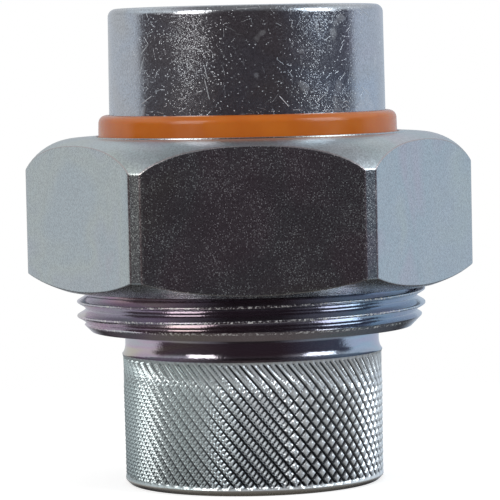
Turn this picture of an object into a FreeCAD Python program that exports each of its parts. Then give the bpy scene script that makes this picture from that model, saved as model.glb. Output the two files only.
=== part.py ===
"""Three-quarter-inch dielectric union: two steel pipe ends drawn together by a hex nut.

Millimetres. +Z runs up the pipe's axis, the origin is the centre of the lower end face,
and one flat of the hex nut faces -Y. A rubber gasket and a plastic sleeve keep the
tailpiece clear of the nut and of the threaded body, so no metal bridges the joint.
"""
import FreeCAD, Part
import math
import os

Vector = FreeCAD.Vector
UP = Vector(0, 0, 1)
CENTRE = Vector(0, 0, 0)
CUT_MARGIN = 1.0                # how far a cutting shape runs past what it cuts
BLANK_SEAM_ANGLE = 37.0         # turns a threaded blank's seam away from the cutters' ends

# Waterway and the two sockets for three-quarter-inch pipe
WATERWAY_RADIUS = 10.5
SOCKET_STEP = 1.2               # from the waterway out to the socket's drilled wall
SOCKET_COUNTERSINK = 1.8
SOCKET_DEPTH = 17.0

# Knurled end of the threaded body
KNURL_WALL = 3.0                # from the socket's mouth out to the knurl's foot
KNURL_TAPER = 0.12              # how much larger the knurl's radius is at its top
KNURL_HEIGHT = 15.15
KNURL_GROOVES = 69              # grooves of each hand round the end
KNURL_PITCH = 1.8               # height of one diamond
KNURL_DEPTH = 0.4
KNURL_TOP_CHAMFER = 0.5
KNURL_BACKING = 1.0             # how deep the knurled skin is rooted in the wall
END_CHAMFER = 0.55
END_BAND_HEIGHT = 0.75

# Neck between the knurl and the threaded flange
NECK_WALL = 2.7
NECK_HEIGHT = 3.2
NECK_FILLET = 0.7

# Gasket between the seat and the tailpiece
GASKET_LAND = 2.5               # from the waterway out to the gasket's hole
GASKET_MARGIN = 0.1
GASKET_THICKNESS = 2.4

# Tailpiece
TAIL_WALL = 4.14                # from the socket's mouth out to the tail's foot
TAIL_TAPER = 0.18
TAIL_LENGTH = 25.0
TAIL_TOP_ROUND = 1.0
TAIL_SHOULDER = 2.66
TAIL_FLANGE_THICKNESS = 4.0
TAIL_FLANGE_EDGE = 0.4

# Insulating sleeve
SLEEVE_FLANGE_THICKNESS = 1.5
SLEEVE_BORE_CLEARANCE = 0.16
SLEEVE_COLLAR_WALL = 1.3
SLEEVE_COLLAR_HEIGHT = 6.08
SLEEVE_COLLAR_ROUND = 1.15
SLEEVE_SKIRT_CLEARANCE = 0.1
SLEEVE_SKIRT_WALL = 0.65
SLEEVE_SKIRT_SEAT_GAP = 0.6

# Union thread: one and three-quarter inches, fourteen turns to the inch, right-hand
THREAD_PITCH = 25.4 / 14
THREAD_DEPTH = 1.113
THREAD_HALF_ANGLE = 30.0
THREAD_CREST_WIDTH = 0.227
THREAD_LEAD = 1.05              # height above the flange's foot of a crest over +X
THREAD_LENGTH = 13.4
THREAD_LOWER_CHAMFER = 1.75
THREAD_UPPER_CHAMFER = 1.6
THREAD_RADIAL_CLEARANCE = 0.12
THREAD_FLANK_CLEARANCE = 0.08
THREAD_OVERCUT = 0.05           # how far a thread cutter stands out of what it cuts

# Union nut
NUT_SKIRT_CLEARANCE = 0.182     # between its thread and the sleeve's skirt
NUT_WALL = 2.555                # behind the relief, at the middle of a flat
NUT_CORNER_RATIO = 1.134        # the turned-off corners' radius over the flats' radius
NUT_HEIGHT = 19.25
NUT_LIP_THICKNESS = 3.4
NUT_LIP_CLEARANCE = 0.18
NUT_TOP_FLAT = 0.6              # width of the flat ring round the lip's bore
NUT_TOP_EDGE = 0.15             # the small step from that ring down to the dome
NUT_DOME_FLAT = 1.77            # how far the dome stays level before it falls
NUT_DOME_DROP = 3.85            # how far the dome has fallen at a corner
NUT_BASE_FLAT = 1.355
NUT_BASE_RISE = 2.05            # how far the lower chamfer has risen at a corner
NUT_BASE_BULGE = 0.15
NUT_MOUTH_CLEARANCE = 0.3
NUT_RELIEF_HEIGHT = 3.9
NUT_RELIEF_CLEARANCE = 0.1

# Heights where the pieces meet
KNURL_BASE_Z = END_BAND_HEIGHT
KNURL_TOP_Z = KNURL_BASE_Z + KNURL_HEIGHT
NECK_BASE_Z = KNURL_TOP_Z + KNURL_TOP_CHAMFER
FLANGE_Z = NECK_BASE_Z + NECK_HEIGHT
THREAD_START_Z = FLANGE_Z + THREAD_LEAD
SEAT_Z = FLANGE_Z + THREAD_LENGTH
TAIL_Z = SEAT_Z + GASKET_THICKNESS
TAIL_FLANGE_TOP_Z = TAIL_Z + TAIL_FLANGE_THICKNESS
TAIL_TOP_Z = TAIL_Z + TAIL_LENGTH
LIP_Z = TAIL_FLANGE_TOP_Z + SLEEVE_FLANGE_THICKNESS
NUT_TOP_Z = LIP_Z + NUT_LIP_THICKNESS
NUT_BASE_Z = NUT_TOP_Z - NUT_HEIGHT

# Radii, worked out from the waterway outwards
SOCKET_DRILL_RADIUS = WATERWAY_RADIUS + SOCKET_STEP
SOCKET_MOUTH_RADIUS = SOCKET_DRILL_RADIUS + SOCKET_COUNTERSINK
NECK_RADIUS = SOCKET_MOUTH_RADIUS + NECK_WALL
KNURL_BOTTOM_RADIUS = SOCKET_MOUTH_RADIUS + KNURL_WALL
KNURL_TOP_RADIUS = KNURL_BOTTOM_RADIUS + KNURL_TAPER
TAIL_BASE_RADIUS = SOCKET_MOUTH_RADIUS + TAIL_WALL
TAIL_TOP_RADIUS = TAIL_BASE_RADIUS - TAIL_TAPER
TAIL_FLANGE_RADIUS = TAIL_BASE_RADIUS + TAIL_SHOULDER
GASKET_INNER_RADIUS = WATERWAY_RADIUS + GASKET_LAND
GASKET_OUTER_RADIUS = TAIL_FLANGE_RADIUS - GASKET_MARGIN
SLEEVE_BORE_RADIUS = TAIL_BASE_RADIUS + SLEEVE_BORE_CLEARANCE
SLEEVE_COLLAR_RADIUS = SLEEVE_BORE_RADIUS + SLEEVE_COLLAR_WALL
SLEEVE_SKIRT_BORE = TAIL_FLANGE_RADIUS + SLEEVE_SKIRT_CLEARANCE
SLEEVE_SKIRT_RADIUS = SLEEVE_SKIRT_BORE + SLEEVE_SKIRT_WALL
NUT_MINOR_RADIUS = SLEEVE_SKIRT_RADIUS + NUT_SKIRT_CLEARANCE
THREAD_ROOT_RADIUS = NUT_MINOR_RADIUS - THREAD_RADIAL_CLEARANCE
THREAD_CREST_RADIUS = THREAD_ROOT_RADIUS + THREAD_DEPTH
THREAD_SLOPE = math.tan(math.radians(THREAD_HALF_ANGLE))
NUT_MAJOR_RADIUS = THREAD_CREST_RADIUS + THREAD_RADIAL_CLEARANCE
NUT_RELIEF_RADIUS = NUT_MAJOR_RADIUS + NUT_RELIEF_CLEARANCE
NUT_MOUTH_RADIUS = NUT_MAJOR_RADIUS + NUT_MOUTH_CLEARANCE
NUT_BASE_RADIUS = NUT_MOUTH_RADIUS + NUT_BASE_FLAT
NUT_LIP_RADIUS = SLEEVE_COLLAR_RADIUS + NUT_LIP_CLEARANCE
NUT_TOP_RADIUS = NUT_LIP_RADIUS + NUT_TOP_FLAT
NUT_DOME_RADIUS = NUT_TOP_RADIUS + NUT_TOP_EDGE + NUT_DOME_FLAT
NUT_FLAT_RADIUS = NUT_RELIEF_RADIUS + NUT_WALL
NUT_CORNER_RADIUS = NUT_FLAT_RADIUS * NUT_CORNER_RATIO


def turned(*outline):
    """Turn a closed outline of (radius, z) points about the axis.

    A point with four numbers ends an arc: (radius, z, radius and z of the arc's middle).
    """
    start = Vector(outline[0][0], 0, outline[0][1])
    edges = []
    here = start
    for point in outline[1:] + ((outline[0][0], outline[0][1]),):
        end = Vector(point[0], 0, point[1])
        if len(point) == 4:
            middle = Vector(point[2], 0, point[3])
            edges.append(Part.Arc(here, middle, end).toShape())
        elif (end - here).Length > 1e-9:
            edges.append(Part.LineSegment(here, end).toShape())
        here = end
    face = Part.Face(Part.Wire(edges))
    return face.revolve(CENTRE, UP, 360)


def rounded(radius, z, centre_radius, centre_z, size, towards):
    """The last point of a quarter-round: an arc point whose middle lies towards an angle."""
    angle = math.radians(towards)
    middle_radius = centre_radius + size * math.cos(angle)
    middle_z = centre_z + size * math.sin(angle)
    return (radius, z, middle_radius, middle_z)


def cut_thread(blank, centre_z, inner_radius, outer_radius, width_at, low_z, high_z):
    """Cut a right-hand thread groove into a blank, one turn at a time.

    centre_z is a height where the groove's middle crosses +X, width_at gives the groove's
    width at a radius, and the turns reach from low_z to high_z or a little past them.
    """
    inner, outer = width_at(inner_radius) / 2, width_at(outer_radius) / 2
    profile = Part.makePolygon([
        Vector(inner_radius, 0, -inner),
        Vector(outer_radius, 0, -outer),
        Vector(outer_radius, 0, outer),
        Vector(inner_radius, 0, inner),
        Vector(inner_radius, 0, -inner),
    ])
    helix = Part.makeHelix(THREAD_PITCH, THREAD_PITCH, inner_radius)
    one_turn = Part.Wire(helix.Edges).makePipeShell([profile], True, True)
    first = math.floor((low_z - centre_z) / THREAD_PITCH)
    last = math.ceil((high_z - centre_z) / THREAD_PITCH)
    threaded = blank.copy()
    threaded.rotate(CENTRE, UP, BLANK_SEAM_ANGLE)
    for turn in range(first, last):
        cutter = one_turn.copy()
        cutter.translate(Vector(0, 0, centre_z + turn * THREAD_PITCH))
        threaded = threaded.cut(cutter)
    return threaded


def ridge_width(radius):
    """The width of the male thread's ridge at a radius."""
    return THREAD_CREST_WIDTH + 2 * (THREAD_CREST_RADIUS - radius) * THREAD_SLOPE


def male_groove_width(radius):
    """What the male thread's groove leaves open between two ridges."""
    return THREAD_PITCH - ridge_width(radius)


def female_groove_width(radius):
    """The nut's groove: the ridge with clearance on both flanks."""
    return ridge_width(radius) + 2 * THREAD_FLANK_CLEARANCE


def socket(mouth_z, inward):
    """The drilled pipe socket and its countersunk mouth; inward is +1 up or -1 down."""
    outside_z = mouth_z - inward * CUT_MARGIN
    return turned(
        (0, outside_z),
        (SOCKET_MOUTH_RADIUS, outside_z),
        (SOCKET_MOUTH_RADIUS, mouth_z),
        (SOCKET_DRILL_RADIUS, mouth_z + inward * SOCKET_COUNTERSINK),
        (SOCKET_DRILL_RADIUS, mouth_z + inward * SOCKET_DEPTH),
        (0, mouth_z + inward * SOCKET_DEPTH),
    )


def knurled_skin():
    """A ring whose outside is a field of four-sided points between crossing grooves."""
    columns = 2 * KNURL_GROOVES
    rows = round(KNURL_HEIGHT / (KNURL_PITCH / 2))
    points = []
    for row in range(rows + 1):
        share = row / rows
        crest = KNURL_BOTTOM_RADIUS + share * (KNURL_TOP_RADIUS - KNURL_BOTTOM_RADIUS)
        z = KNURL_BASE_Z + share * KNURL_HEIGHT
        for column in range(columns):
            peak = (row + column) % 2 == 1 and 0 < row < rows
            radius = crest if peak else crest - KNURL_DEPTH
            angle = 2 * math.pi * column / columns
            points.append(Vector(radius * math.cos(angle), radius * math.sin(angle), z))
    root_radius = NECK_RADIUS - KNURL_DEPTH - KNURL_BACKING
    first_lower = len(points)
    for z in (KNURL_BASE_Z, KNURL_TOP_Z):
        for column in range(columns):
            angle = 2 * math.pi * column / columns
            points.append(Vector(root_radius * math.cos(angle), root_radius * math.sin(angle), z))
    first_upper = first_lower + columns

    facets = []
    for column in range(columns):
        ahead = (column + 1) % columns
        for row in range(rows):
            low, low_ahead = row * columns + column, row * columns + ahead
            high, high_ahead = low + columns, low_ahead + columns
            if (row + column) % 2 == 1:
                facets += [(low, low_ahead, high), (low_ahead, high_ahead, high)]
            else:
                facets += [(low, low_ahead, high_ahead), (low, high_ahead, high)]
        lower, lower_ahead = first_lower + column, first_lower + ahead
        upper, upper_ahead = first_upper + column, first_upper + ahead
        top, top_ahead = rows * columns + column, rows * columns + ahead
        facets += [(lower, lower_ahead, ahead), (lower, ahead, column)]
        facets += [(top, top_ahead, upper_ahead), (top, upper_ahead, upper)]
        facets += [(upper, upper_ahead, lower_ahead), (upper, lower_ahead, lower)]
    skin = Part.Shape()
    skin.makeShapeFromMesh((points, facets), 1e-4)
    return Part.Solid(Part.Shell(skin.Faces))


def threaded_flange():
    """The flange that carries the union thread, chamfered at both ends."""
    blank = turned(
        (0, FLANGE_Z),
        (THREAD_CREST_RADIUS - THREAD_LOWER_CHAMFER, FLANGE_Z),
        (THREAD_CREST_RADIUS, FLANGE_Z + THREAD_LOWER_CHAMFER),
        (THREAD_CREST_RADIUS, SEAT_Z - THREAD_UPPER_CHAMFER),
        (THREAD_CREST_RADIUS - THREAD_UPPER_CHAMFER, SEAT_Z),
        (0, SEAT_Z),
    )
    return cut_thread(blank, THREAD_START_Z + THREAD_PITCH / 2, THREAD_ROOT_RADIUS,
                      THREAD_CREST_RADIUS + THREAD_OVERCUT, male_groove_width,
                      FLANGE_Z - THREAD_PITCH, SEAT_Z + THREAD_PITCH)


def threaded_body():
    """The lower pipe end: knurled grip, neck and threaded flange in one steel turning."""
    skin_seat = NECK_RADIUS - KNURL_DEPTH
    fillet_z = FLANGE_Z - NECK_FILLET
    fillet_centre = NECK_RADIUS + NECK_FILLET
    core = turned(
        (0, 0),
        (KNURL_BOTTOM_RADIUS - END_CHAMFER, 0),
        (KNURL_BOTTOM_RADIUS, END_CHAMFER),
        (KNURL_BOTTOM_RADIUS, KNURL_BASE_Z),
        (skin_seat, KNURL_BASE_Z),
        (skin_seat, KNURL_TOP_Z),
        (KNURL_TOP_RADIUS, KNURL_TOP_Z),
        (NECK_RADIUS, NECK_BASE_Z),
        (NECK_RADIUS, fillet_z),
        rounded(fillet_centre, FLANGE_Z, fillet_centre, fillet_z, NECK_FILLET, 135),
        (fillet_centre, FLANGE_Z + CUT_MARGIN),
        (0, FLANGE_Z + CUT_MARGIN),
    )
    bore = Part.makeCylinder(WATERWAY_RADIUS, SEAT_Z + 2 * CUT_MARGIN, Vector(0, 0, -CUT_MARGIN))
    return core.fuse(threaded_flange()).cut(bore).cut(socket(0, 1)).fuse(knurled_skin())


def sealing_gasket():
    """The flat rubber ring between the seat and the tailpiece."""
    return turned(
        (GASKET_INNER_RADIUS, SEAT_Z),
        (GASKET_OUTER_RADIUS, SEAT_Z),
        (GASKET_OUTER_RADIUS, TAIL_Z),
        (GASKET_INNER_RADIUS, TAIL_Z),
    )


def tailpiece():
    """The upper pipe end, with the flange that the nut draws down."""
    round_z = TAIL_TOP_Z - TAIL_TOP_ROUND
    round_centre = TAIL_TOP_RADIUS - TAIL_TOP_ROUND
    outside = turned(
        (0, TAIL_Z),
        (TAIL_FLANGE_RADIUS - TAIL_FLANGE_EDGE, TAIL_Z),
        (TAIL_FLANGE_RADIUS, TAIL_Z + TAIL_FLANGE_EDGE),
        (TAIL_FLANGE_RADIUS, TAIL_FLANGE_TOP_Z),
        (TAIL_BASE_RADIUS, TAIL_FLANGE_TOP_Z),
        (TAIL_TOP_RADIUS, round_z),
        rounded(round_centre, TAIL_TOP_Z, round_centre, round_z, TAIL_TOP_ROUND, 45),
        (0, TAIL_TOP_Z),
    )
    bore = Part.makeCylinder(WATERWAY_RADIUS, TAIL_LENGTH + 2 * CUT_MARGIN,
                             Vector(0, 0, TAIL_Z - CUT_MARGIN))
    return outside.cut(bore).cut(socket(TAIL_TOP_Z, -1))


def insulating_sleeve():
    """The plastic sleeve: a collar round the tail, a flange under the lip and a skirt."""
    collar_top_z = LIP_Z + SLEEVE_COLLAR_HEIGHT
    round_z = collar_top_z - SLEEVE_COLLAR_ROUND
    round_centre = SLEEVE_COLLAR_RADIUS - SLEEVE_COLLAR_ROUND
    skirt_z = SEAT_Z + SLEEVE_SKIRT_SEAT_GAP
    return turned(
        (SLEEVE_BORE_RADIUS, TAIL_FLANGE_TOP_Z),
        (SLEEVE_SKIRT_BORE, TAIL_FLANGE_TOP_Z),
        (SLEEVE_SKIRT_BORE, skirt_z),
        (SLEEVE_SKIRT_RADIUS, skirt_z),
        (SLEEVE_SKIRT_RADIUS, LIP_Z),
        (SLEEVE_COLLAR_RADIUS, LIP_Z),
        (SLEEVE_COLLAR_RADIUS, round_z),
        rounded(round_centre, collar_top_z, round_centre, round_z, SLEEVE_COLLAR_ROUND, 45),
        (SLEEVE_BORE_RADIUS, collar_top_z),
    )


def nut_outside():
    """The hexagon, domed above, chamfered below and turned off at its corners."""
    hexagon_radius = NUT_FLAT_RADIUS / math.cos(math.radians(30))
    corners = []
    for step in range(7):
        angle = math.radians(60 * step)
        corners.append(Vector(hexagon_radius * math.cos(angle),
                              hexagon_radius * math.sin(angle), NUT_BASE_Z))
    prism = Part.Face(Part.makePolygon(corners)).extrude(Vector(0, 0, NUT_HEIGHT))

    dome_z = NUT_TOP_Z - NUT_TOP_EDGE
    full_reach = NUT_CORNER_RADIUS - NUT_DOME_RADIUS
    dome_arc = (full_reach ** 2 + NUT_DOME_DROP ** 2) / (2 * NUT_DOME_DROP)
    dome_middle = (NUT_DOME_RADIUS + NUT_CORNER_RADIUS) / 2
    dome_middle_z = dome_z - dome_arc + math.sqrt(dome_arc ** 2 - (full_reach / 2) ** 2)
    base_slope = math.atan2(NUT_BASE_RISE, NUT_CORNER_RADIUS - NUT_BASE_RADIUS)
    base_middle = (NUT_BASE_RADIUS + NUT_CORNER_RADIUS) / 2 + NUT_BASE_BULGE * math.sin(base_slope)
    base_middle_z = NUT_BASE_Z + NUT_BASE_RISE / 2 - NUT_BASE_BULGE * math.cos(base_slope)
    turning = turned(
        (0, NUT_BASE_Z),
        (NUT_BASE_RADIUS, NUT_BASE_Z),
        (NUT_CORNER_RADIUS, NUT_BASE_Z + NUT_BASE_RISE, base_middle, base_middle_z),
        (NUT_CORNER_RADIUS, dome_z - NUT_DOME_DROP),
        (NUT_DOME_RADIUS, dome_z, dome_middle, dome_middle_z),
        (NUT_TOP_RADIUS + NUT_TOP_EDGE, dome_z),
        (NUT_TOP_RADIUS, NUT_TOP_Z),
        (0, NUT_TOP_Z),
    )
    return prism.common(turning)


def union_nut():
    """The hex nut: a threaded skirt, a relief above it and a lip over the sleeve."""
    relief_z = LIP_Z - NUT_RELIEF_HEIGHT
    minor_z = NUT_BASE_Z + NUT_MOUTH_RADIUS - NUT_MINOR_RADIUS
    bore = turned(
        (0, NUT_BASE_Z - CUT_MARGIN),
        (NUT_MOUTH_RADIUS, NUT_BASE_Z - CUT_MARGIN),
        (NUT_MOUTH_RADIUS, NUT_BASE_Z),
        (NUT_MINOR_RADIUS, minor_z),
        (NUT_MINOR_RADIUS, relief_z),
        (NUT_RELIEF_RADIUS, relief_z),
        (NUT_RELIEF_RADIUS, LIP_Z),
        (NUT_LIP_RADIUS, LIP_Z),
        (NUT_LIP_RADIUS, NUT_TOP_Z + CUT_MARGIN),
        (0, NUT_TOP_Z + CUT_MARGIN),
    )
    blank = Part.makeCylinder(NUT_RELIEF_RADIUS + CUT_MARGIN, LIP_Z - NUT_BASE_Z,
                              Vector(0, 0, NUT_BASE_Z))
    threaded = cut_thread(blank.cut(bore), THREAD_START_Z,
                          NUT_MINOR_RADIUS - THREAD_OVERCUT, NUT_MAJOR_RADIUS,
                          female_groove_width, NUT_BASE_Z - THREAD_PITCH, relief_z)
    return nut_outside().cut(bore).cut(blank).fuse(threaded)


PIECES = {
    "threaded_body": threaded_body,
    "sealing_gasket": sealing_gasket,
    "tailpiece": tailpiece,
    "insulating_sleeve": insulating_sleeve,
    "union_nut": union_nut,
}

os.makedirs("parts", exist_ok=True)
for name, make in PIECES.items():
    shape = make()
    shape.exportStep(f"parts/{name}.step")
    print(name, shape.ShapeType, "valid", shape.isValid(), "solids", len(shape.Solids),
          "faces", len(shape.Faces), "volume", round(shape.Volume, 1))
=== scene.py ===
import math

import bmesh
import bpy
import numpy as np
from mathutils import Matrix, Vector


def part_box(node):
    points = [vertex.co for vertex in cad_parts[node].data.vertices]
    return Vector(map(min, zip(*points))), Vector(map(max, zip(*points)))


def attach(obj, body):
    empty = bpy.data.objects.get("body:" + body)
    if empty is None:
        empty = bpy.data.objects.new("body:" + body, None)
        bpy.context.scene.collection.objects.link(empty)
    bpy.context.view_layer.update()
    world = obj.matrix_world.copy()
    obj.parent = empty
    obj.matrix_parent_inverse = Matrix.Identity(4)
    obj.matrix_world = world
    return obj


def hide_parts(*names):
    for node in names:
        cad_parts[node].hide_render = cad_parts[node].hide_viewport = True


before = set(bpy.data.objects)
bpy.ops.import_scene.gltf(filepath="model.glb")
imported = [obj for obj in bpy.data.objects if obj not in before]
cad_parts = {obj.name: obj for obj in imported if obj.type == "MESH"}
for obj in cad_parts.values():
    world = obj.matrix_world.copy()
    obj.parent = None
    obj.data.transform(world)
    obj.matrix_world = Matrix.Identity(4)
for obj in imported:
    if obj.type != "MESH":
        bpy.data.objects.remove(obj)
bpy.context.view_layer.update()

# Sizes are in millimetres, and meshes are scaled to metres when they are made. The studio,
# the camera and the shader trees are in metres.
MM = 0.001

# Heights where the pieces meet, read from the frame
SEAT_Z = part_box("threaded_body")[1].z / MM
TAIL_Z, TAIL_TOP_Z = (corner.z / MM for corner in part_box("tailpiece"))
NUT_BASE_Z, NUT_TOP_Z = (corner.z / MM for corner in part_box("union_nut"))
SKIRT_Z, COLLAR_TOP_Z = (corner.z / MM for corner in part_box("insulating_sleeve"))

# Waterway and pipe sockets: three-quarter-inch tapered pipe thread
WATERWAY_R = 10.5
WATERWAY_EDGE = 0.3
SOCKET_DRILL_R = 11.7
SOCKET_MOUTH_R = 13.5
SOCKET_DEPTH = 17.0
SOCKET_RUNOUT = 0.4             # how far the thread's run-out widens the socket at its floor
SOCKET_FLOOR_EDGE = 0.1
PIPE_THREAD_ROOT_R = 13.28
PIPE_THREAD_TAPER = 1 / 32
PIPE_THREAD_STEPS = 12          # mesh rows in one pitch

# Knurled end and neck
END_CHAMFER = 0.55
END_EDGE = 0.25
BAND_EDGE = 0.2
KNURL_BASE_Z = 0.75
KNURL_TOP_Z = 16.6
KNURL_BOTTOM_R = 16.5
KNURL_TOP_R = 16.62
KNURL_DEPTH = 0.42
KNURL_GROOVES = 69              # grooves of each hand round the end
KNURL_PITCH = 1.8
KNURL_STEPS = 8                 # mesh steps across one knurl pitch, each way
KNURL_RUNOUT_ROWS = 20          # mesh rows at the top where the rising grooves fade out
KNURL_EDGE_ROWS = 2             # mesh rows at both ends where every groove runs out
NECK_R = 16.2
NECK_FILLET = 0.9
NECK_SCOOP_Z = 17.85
NECK_SCOOP_R = 2.26
NECK_SCOOP_ANGLE = 32           # degrees of its arc, from the knurl's shoulder to the neck
NECK_SCOOP_POINTS = 7
FLANGE_Z = 19.6

# Union thread
THREAD_PITCH = 25.4 / 14
THREAD_CREST_R = 22.225
THREAD_ROOT_R = 21.112
THREAD_CREST_WIDTH = 0.227
THREAD_START_Z = 20.65
THREAD_LOWER_CHAMFER = 1.75
THREAD_UPPER_CHAMFER = 1.6
THREAD_RADIAL_CLEARANCE = 0.12
THREAD_FLANK_CLEARANCE = 0.08
THREAD_SOFTNESS = 0.12
THREAD_ROOT_SOFTNESS = 0.45
FLANK_SLOPE = math.tan(math.radians(30))
UNION_NEAR_CREST = [0.07, 0.13, 0.21]   # mesh rows' heights from a ridge's middle
UNION_FLANK = [0.38, 0.52]
UNION_NEAR_ROOT = [0.23, 0.13, 0.06]    # and from the groove's middle

# Tailpiece, sleeve and gasket
TAIL_FLANGE_R = 20.3
TAIL_FLANGE_TOP_Z = 39.4
TAIL_FLANGE_EDGE = 0.4
TAIL_FLANGE_SOFTNESS = 0.15
TAIL_FLANGE_RIM = 0.2
TAIL_BASE_R = 17.64
TAIL_BASE_FILLET = 0.12
TAIL_TOP_R = 17.46
TAIL_TOP_ROUND = 1.0
LIP_Z = 40.9
SLEEVE_BORE_R = 17.8
SLEEVE_BORE_CHAMFER = 0.1
SLEEVE_EDGE = 0.1
SLEEVE_COLLAR_R = 19.1
SLEEVE_COLLAR_TOP_R = 18.97
SLEEVE_COLLAR_ROUND = 1.0
SLEEVE_COLLAR_POINTS = 9
SLEEVE_SKIRT_BORE_R = 20.4
SLEEVE_SKIRT_R = 21.05
SLEEVE_SKIRT_EDGE = 0.15
GASKET_INNER_R = 13.0
GASKET_OUTER_R = 20.2
GASKET_EDGE = 0.3

# Nut
NUT_HALF_FLATS = 25.0
NUT_CORNER_R = 28.35
NUT_CORNER_SOFTNESS = 0.12
NUT_BASE_R = 24.0
NUT_BASE_RISE = 2.05
NUT_BASE_BULGE = 0.15
NUT_BASE_EDGE = 0.15
NUT_BASE_STEPS = 4
NUT_LOWER_EDGE = 0.22           # rounding where the flats meet the lower chamfer
NUT_UPPER_EDGE = 0.55           # and where they meet the dome
NUT_DOME_R = 21.8
NUT_DOME_ARC = 7.498
NUT_DOME_STEPS = 10
NUT_LIP_R = 19.28
NUT_LIP_EDGE = 0.1
NUT_TOP_R = 19.88
NUT_TOP_EDGE = 0.15
NUT_TOP_STEP = 0.8              # the edge's step out at the very top, as a share of the edge
NUT_TOP_SOFTNESS = 0.04
NUT_RELIEF_Z = 37.0
NUT_RELIEF_R = 22.445
NUT_MOUTH_R = 22.645
NUT_COLUMN_ANGLES = [0.0, 0.5, 0.9, 1.15, 1.31, 1.5, 1.8, 2.4, 3.2, 5, 8, 11, 14, 17, 20, 23,
                     26.5, 30]  # degrees from a corner to the middle of a flat

COLUMNS = 138                   # mesh columns round a turned piece
LARGEST_ROUNDING = 0.42         # the share of a straight run that one rounded corner may take
SUPPORT_SHARE = 0.12            # how far outside an arc its support points lie, of its reach
MERGE_DISTANCE = 3e-7           # in metres, like the next
SHORTEST_EDGE = 1e-8
SHARP_ANGLE = 40


def rounded_path(*points, steps=4):
    """A (radius, z) outline whose corners are rounded.

    Each point is (radius, z) or (radius, z, rounding). A rounded corner gives an arc and a
    support point a little outside each of its ends, which keeps the flat faces flat.
    """
    out = []
    for index, point in enumerate(points):
        here = np.array(point[:2], dtype=float)
        if len(point) == 2 or index in (0, len(points) - 1):
            out.append(here)
            continue
        before = np.array(points[index - 1][:2]) - here
        after = np.array(points[index + 1][:2]) - here
        run_before, run_after = np.linalg.norm(before), np.linalg.norm(after)
        before, after = before / run_before, after / run_after
        half = math.acos(np.clip(before @ after, -1, 1)) / 2
        reach = min(point[2] / math.tan(half), LARGEST_ROUNDING * run_before,
                    LARGEST_ROUNDING * run_after)
        radius = reach * math.tan(half)
        centre = here + (before + after) / np.linalg.norm(before + after) * radius / math.sin(half)
        start, end = here + before * reach, here + after * reach
        out.append(start + before * reach * SUPPORT_SHARE)
        for step in range(steps + 1):
            spoke = start + (end - start) * step / steps - centre
            out.append(centre + spoke / np.linalg.norm(spoke) * radius)
        out.append(end + after * reach * SUPPORT_SHARE)
    return np.array(out)


def soft_min(a, b, softness):
    """The smaller of two numbers, blended where they are close."""
    blend = max(softness - abs(a - b), 0) / softness
    return min(a, b) - blend * blend * softness / 4


def soft_max(a, b, softness):
    """The larger of two numbers, blended where they are close."""
    return -soft_min(-a, -b, softness)


class Surface:
    """Collects vertices and faces, joins what coincides and makes a Blender object."""

    def __init__(self):
        self.vertices = []
        self.faces = []
        self.count = 0

    def add(self, points):
        """Adds an array of points, shaped (columns, rows, 3), and returns their indices."""
        points = np.asarray(points, dtype=float)
        indices = np.arange(points[..., 0].size).reshape(points.shape[:-1]) + self.count
        self.vertices.append(points.reshape(-1, 3))
        self.count += indices.size
        return indices

    def quads(self, indices, rising=None):
        """Joins neighbouring columns and rows, as quads or as triangles either side of the
        diagonal that rises (or falls) from each lower left corner."""
        a, b = indices[:-1, :-1], indices[1:, :-1]
        c, d = indices[1:, 1:], indices[:-1, 1:]
        if rising is None:
            self.faces += np.stack([a, b, c, d], -1).reshape(-1, 4).tolist()
            return
        for pick, triangles in ((rising, ((a, b, c), (a, c, d))),
                                (~rising, ((a, b, d), (b, c, d)))):
            for triangle in triangles:
                self.faces += np.stack([corner[pick] for corner in triangle], -1).tolist()

    def turned(self, angles, outline):
        """Adds a turned skin: outline(angle) gives the same number of (radius, z) points."""
        columns = []
        for angle in angles:
            path = outline(angle)
            columns.append(np.stack([path[:, 0] * math.cos(angle),
                                     path[:, 0] * math.sin(angle), path[:, 1]], -1))
        indices = self.add(columns)
        self.quads(indices)
        return indices

    def make(self, name, body, node, material):
        """Makes the object, puts it under its body, gives it its material in a slot and hides the
        CAD node that it replaces.
        """
        mesh = bpy.data.meshes.new(name)
        mesh.from_pydata((np.concatenate(self.vertices) * MM).tolist(), [], self.faces)
        work = bmesh.new()
        work.from_mesh(mesh)
        bmesh.ops.remove_doubles(work, verts=work.verts, dist=MERGE_DISTANCE)
        bmesh.ops.dissolve_degenerate(work, edges=work.edges, dist=SHORTEST_EDGE)
        bmesh.ops.recalc_face_normals(work, faces=work.faces)
        work.to_mesh(mesh)
        work.free()
        mesh.polygons.foreach_set("use_smooth", [True] * len(mesh.polygons))
        mesh.set_sharp_from_angle(angle=math.radians(SHARP_ANGLE))
        mesh.materials.append(material)
        piece = bpy.data.objects.new(name, mesh)
        bpy.context.scene.collection.objects.link(piece)
        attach(piece, body)
        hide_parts(node)
        return piece


def full_turn():
    """Column angles round a full turn, with the first one repeated at the end."""
    return [2 * math.pi * column / COLUMNS for column in range(COLUMNS + 1)]


def thread_rows(angle, low_z, high_z, start_z, offsets, radius_at):
    """A right-hand thread's outline at one angle, from low_z to high_z.

    start_z is a height where a ridge's middle crosses +X, offsets are heights within one
    pitch from there, and radius_at(offset, z) is the surface's radius.
    """
    turn = THREAD_PITCH * angle / (2 * math.pi)
    first = math.floor((low_z - start_z) / THREAD_PITCH) - 2
    last = math.ceil((high_z - start_z) / THREAD_PITCH) + 2
    rows = []
    for pitch in range(first, last):
        for offset in offsets:
            z = start_z + turn + pitch * THREAD_PITCH + offset
            z = min(max(z, low_z), high_z)
            rows.append((radius_at(offset, z), z))
    return np.array(rows)


def union_offsets():
    """The union thread's row heights in one pitch, from a ridge's middle."""
    half = THREAD_PITCH / 2
    upper = UNION_NEAR_CREST + UNION_FLANK + [half - gap for gap in UNION_NEAR_ROOT]
    return [-offset for offset in reversed(upper)] + [0.0] + upper + [half]


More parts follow.
